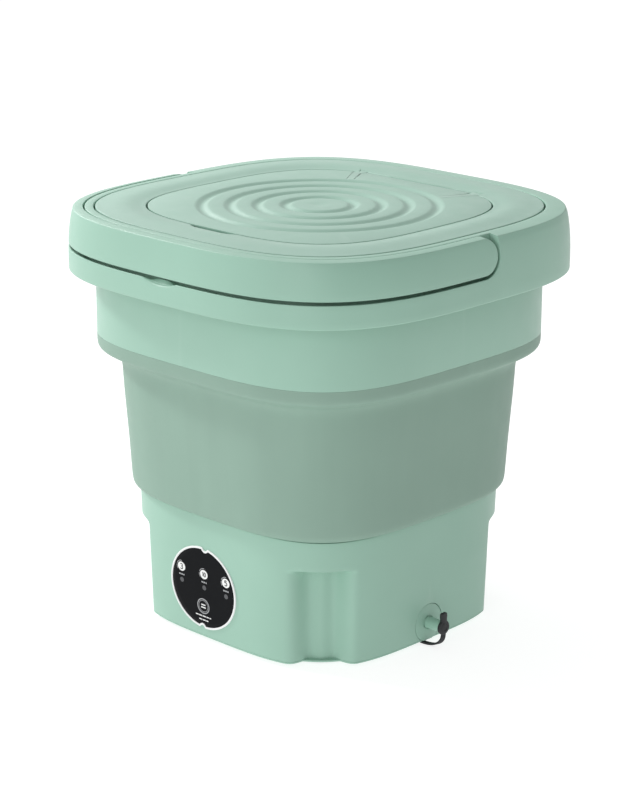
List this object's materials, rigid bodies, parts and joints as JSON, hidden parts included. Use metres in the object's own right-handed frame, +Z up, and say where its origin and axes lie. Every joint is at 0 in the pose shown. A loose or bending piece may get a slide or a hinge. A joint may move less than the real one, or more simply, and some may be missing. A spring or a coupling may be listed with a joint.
{
  "type": "portable folding mini washer",
  "caption": "Small square-sided folding washing tub: hard motor base with touch panel and drain, soft folding wall, rimmed top with bail handle and flap lid.",
  "frame": {"origin": "on the floor, under the middle of the overall box", "axes": "+Z up; -Y the front with the touch panel and the handle's grip; +X the drain spout; +Y the flap's hinge and the power inlet"},
  "size_m": [0.342, 0.342, 0.3353],
  "materials": {
    "mint_plastic": "satin moulded polypropylene, fine even grain",
    "lid_plastic": "satin moulded polypropylene, fine even grain",
    "soft_wall": "matte thermoplastic elastomer",
    "black_rubber": "matte moulded rubber",
    "panel_gloss": "smooth gloss touch face",
    "panel_white": "smooth white bezel",
    "grey_plastic": "smooth moulded plastic",
    "dark_plastic": "matte moulded plastic",
    "steel": "turned steel",
    "bronze": "sintered bronze",
    "pinion_brass": "cut brass",
    "gear_nylon": "matte nylon",
    "circuit_board": "lacquered board",
    "lead_white": "insulated lead",
    "lead_black": "insulated lead",
    "lead_red": "insulated lead"
  },
  "bodies": {
    "base": {"base_shell": "mint_plastic", "tub_basin": "mint_plastic", "bottom_cover": "mint_plastic", "rubber_foot_1": "black_rubber", "rubber_foot_2": "black_rubber", "rubber_foot_3": "black_rubber", "rubber_foot_4": "black_rubber", "cover_screw_1": "steel", "cover_screw_2": "steel", "cover_screw_3": "steel", "cover_screw_4": "steel", "drive_motor": "steel", "motor_plate": "dark_plastic", "motor_screw_1": "steel", "motor_screw_2": "steel", "shaft_bush": "bronze", "shaft_seal": "black_rubber", "panel_bezel": "panel_white", "panel_lens": "panel_gloss", "touch_board": "circuit_board", "control_board": "circuit_board", "panel_lead": "lead_white", "inlet_lead": "lead_black", "motor_lead": "lead_red", "dc_inlet": "dark_plastic", "drain_spout": "mint_plastic", "cap_strap": "black_rubber", "folding_wall": "soft_wall"},
    "pulsator_drive": {"pulsator": "grey_plastic", "pulsator_shaft": "steel", "pulsator_screw": "steel", "drive_gear": "gear_nylon"},
    "motor_rotor": {"motor_shaft": "steel", "motor_pinion": "pinion_brass"},
    "drain_plug": {"drain_cap": "black_rubber"},
    "upper_body": {"upper_ring": "mint_plastic", "top_rim": "mint_plastic", "handle_pin_left": "steel", "handle_pin_right": "steel"},
    "handle": {"carry_handle": "mint_plastic"},
    "lid": {"lid_frame": "lid_plastic", "flap_pin_left": "steel", "flap_pin_right": "steel"},
    "flap": {"lid_flap": "lid_plastic"}
  },
  "joints": [
    {"name": "fold", "type": "slide", "parent": "base", "child": "upper_body", "axis": [0, 0, -1], "range_m": [0, 0.13], "deforming": ["folding_wall"]},
    {"name": "handle_swing", "type": "hinge", "parent": "upper_body", "child": "handle", "pos_m": [0, 0.001, 0.32], "axis": [-1, 0, 0], "range_deg": [0, 90]},
    {"name": "lid_lift", "type": "slide", "parent": "upper_body", "child": "lid", "axis": [0, 0, 1], "range_m": [0, 0.06]},
    {"name": "flap_hinge", "type": "hinge", "parent": "lid", "child": "flap", "pos_m": [0, 0.1135, 0.3313], "axis": [-1, 0, 0], "range_deg": [0, 90]},
    {"name": "pulsator_spin", "type": "hinge", "parent": "base", "child": "pulsator_drive", "pos_m": [0, 0, 0.085], "axis": [0, 0, 1], "continuous": true},
    {"name": "motor_spin", "type": "hinge", "parent": "base", "child": "motor_rotor", "pos_m": [-0.03, 0, 0.06], "axis": [0, 0, 1], "continuous": true},
    {"name": "cap_pull", "type": "slide", "parent": "base", "child": "drain_plug", "axis": [1, 0, 0], "range_m": [0, 0.02]}
  ],
  "couplings": [
    {"joint": "motor_spin", "follows": "pulsator_spin", "ratio": -3}
  ]
}
